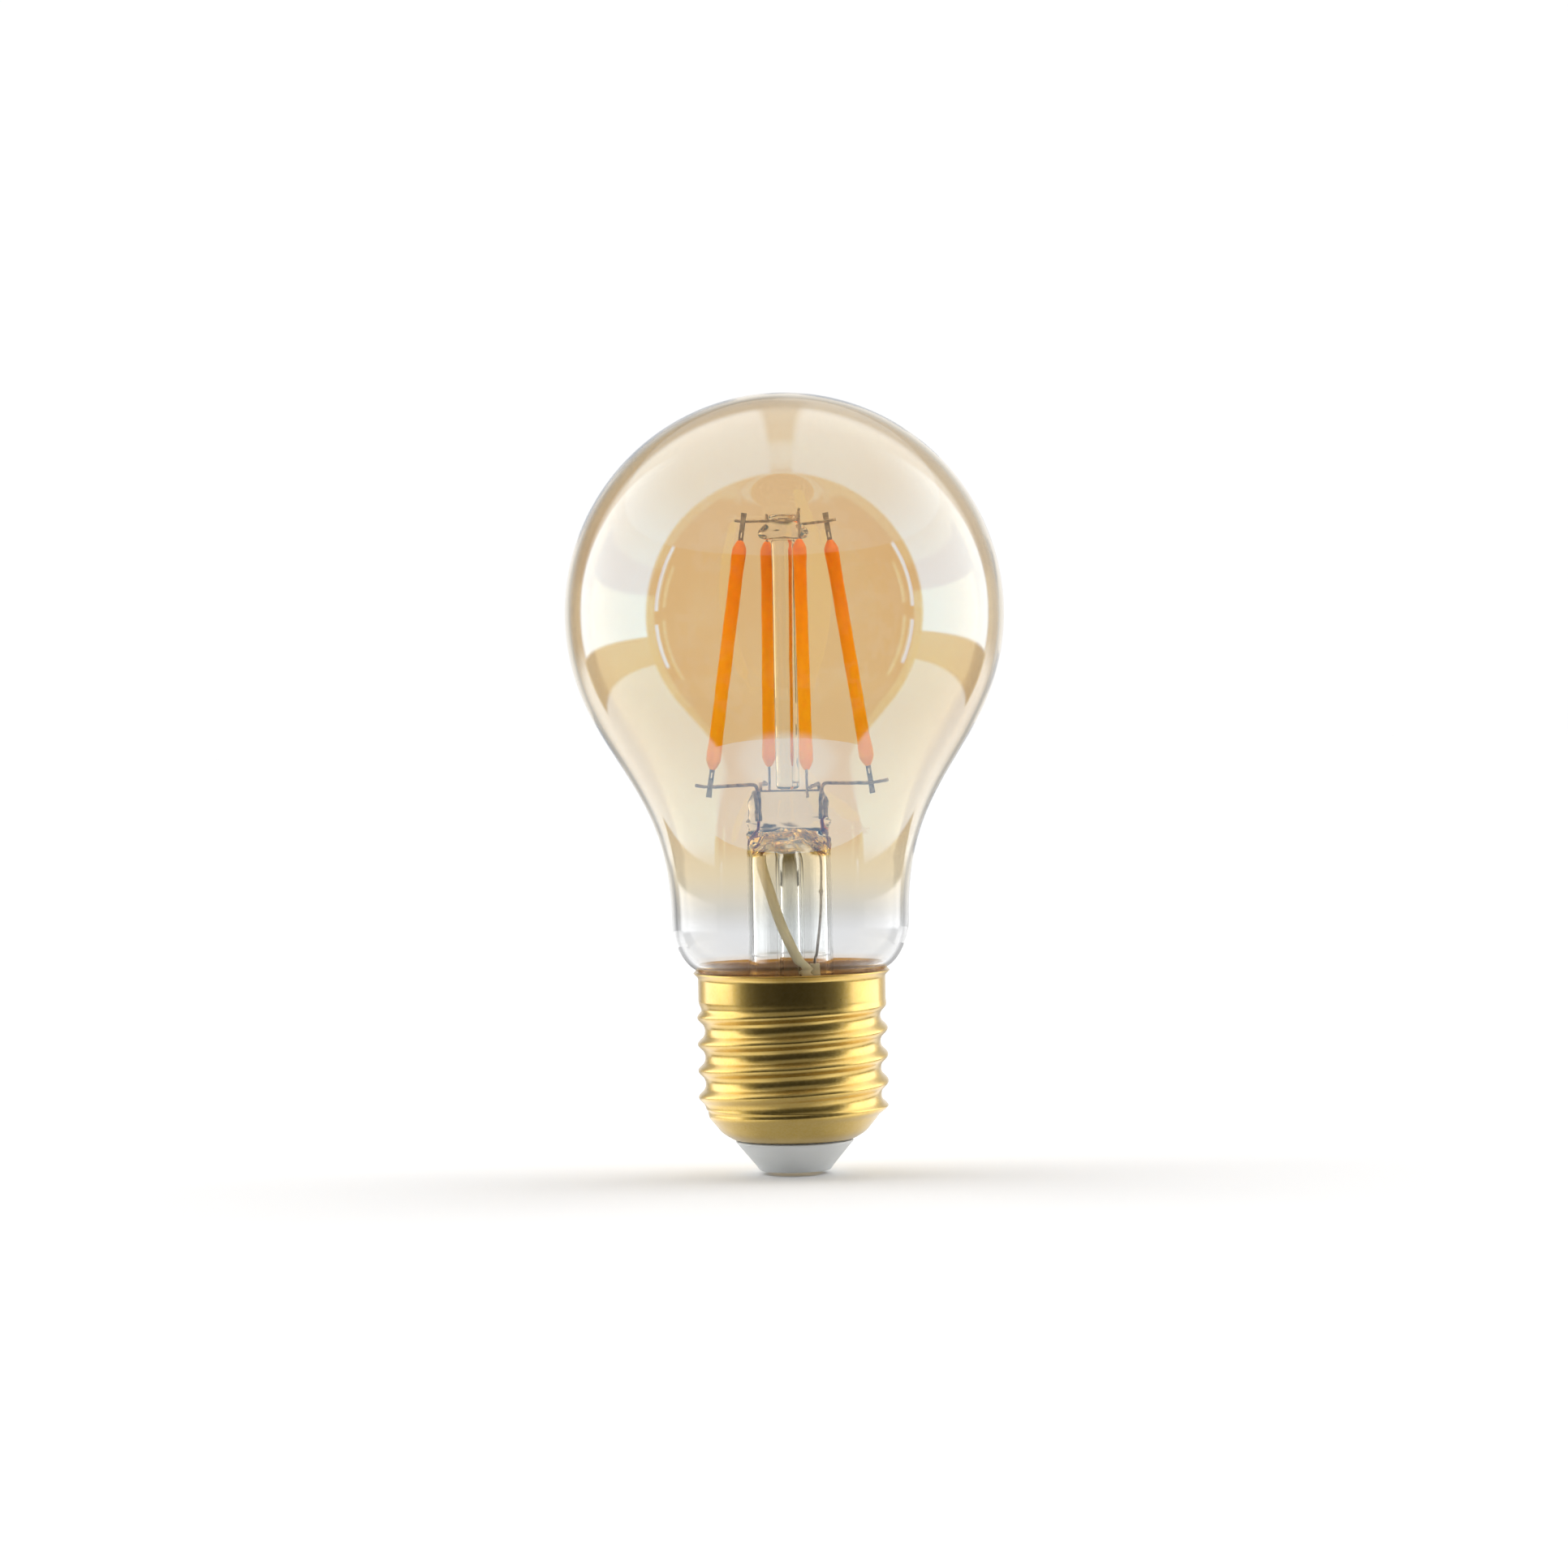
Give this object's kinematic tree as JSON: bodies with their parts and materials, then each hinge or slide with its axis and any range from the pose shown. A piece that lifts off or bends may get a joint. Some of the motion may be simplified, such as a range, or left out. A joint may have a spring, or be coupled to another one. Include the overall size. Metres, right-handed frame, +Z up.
{
  "type": "smart light bulb",
  "caption": "LED filament lamp in an amber A60 glass bulb on a brass E27 screw cap, with a glass stem, wire supports and a driver with radio in the cap",
  "frame": {"origin": "bottom centre of the centre contact, on the lamp's axis", "axes": "+Z runs up the lamp's axis from the cap to the crown; +X is to the right of the view in the picture and +Y points away from it"},
  "size_m": [0.06, 0.06, 0.1064],
  "materials": {
    "amber_glass": "thin amber-coated blown glass, clear at the neck",
    "clear_glass": "clear drawn and pressed glass",
    "phosphor": "orange silicone with phosphor, satin",
    "substrate": "matte white strip",
    "support_wire": "nickel-plated wire and thin tabs",
    "copper_wire": "copper-coated lead, satin",
    "brass_cap": "formed brass sheet, satin with fine grain",
    "insulator": "moulded white-grey plastic, smooth",
    "cement": "baked capping cement, matt mauve",
    "sleeve": "cream insulating tube, slightly translucent",
    "board": "green circuit board",
    "component": "black moulded component body",
    "component_ceramic": "blue-grey lacquered ceramic"
  },
  "bodies": {
    "root": {"glass_bulb": "amber_glass", "flare_tube": "clear_glass", "exhaust_tube": "clear_glass", "stem_press": "clear_glass", "stem_rod": "clear_glass", "stem_button": "clear_glass", "inner_lead_left": "support_wire", "inner_lead_back": "support_wire", "inner_lead_right": "support_wire", "inner_lead_front": "support_wire", "dumet_left": "copper_wire", "outer_lead_left": "support_wire", "lead_sleeve_left": "sleeve", "dumet_right": "copper_wire", "outer_lead_right": "support_wire", "lead_sleeve_right": "sleeve", "top_wire_left_front": "support_wire", "top_wire_back_right": "support_wire", "filament_left_phosphor": "phosphor", "filament_left_substrate": "substrate", "filament_left_top_tab": "support_wire", "filament_left_bottom_tab": "support_wire", "filament_back_phosphor": "phosphor", "filament_back_substrate": "substrate", "filament_back_top_tab": "support_wire", "filament_back_bottom_tab": "support_wire", "filament_right_phosphor": "phosphor", "filament_right_substrate": "substrate", "filament_right_top_tab": "support_wire", "filament_right_bottom_tab": "support_wire", "filament_front_phosphor": "phosphor", "filament_front_substrate": "substrate", "filament_front_top_tab": "support_wire", "filament_front_bottom_tab": "support_wire", "cap_shell": "brass_cap", "cap_cement": "cement", "cap_insulator": "insulator", "centre_contact": "brass_cap", "driver_liner": "sleeve", "driver_board": "board", "bulk_capacitor": "component", "inductor": "component", "bridge_rectifier": "component", "driver_chip": "component", "fuse_resistor": "component_ceramic", "radio_board": "board", "radio_shield": "support_wire", "chip_antenna": "component_ceramic", "line_wire": "copper_wire", "neutral_wire": "copper_wire"}
  },
  "joints": []
}
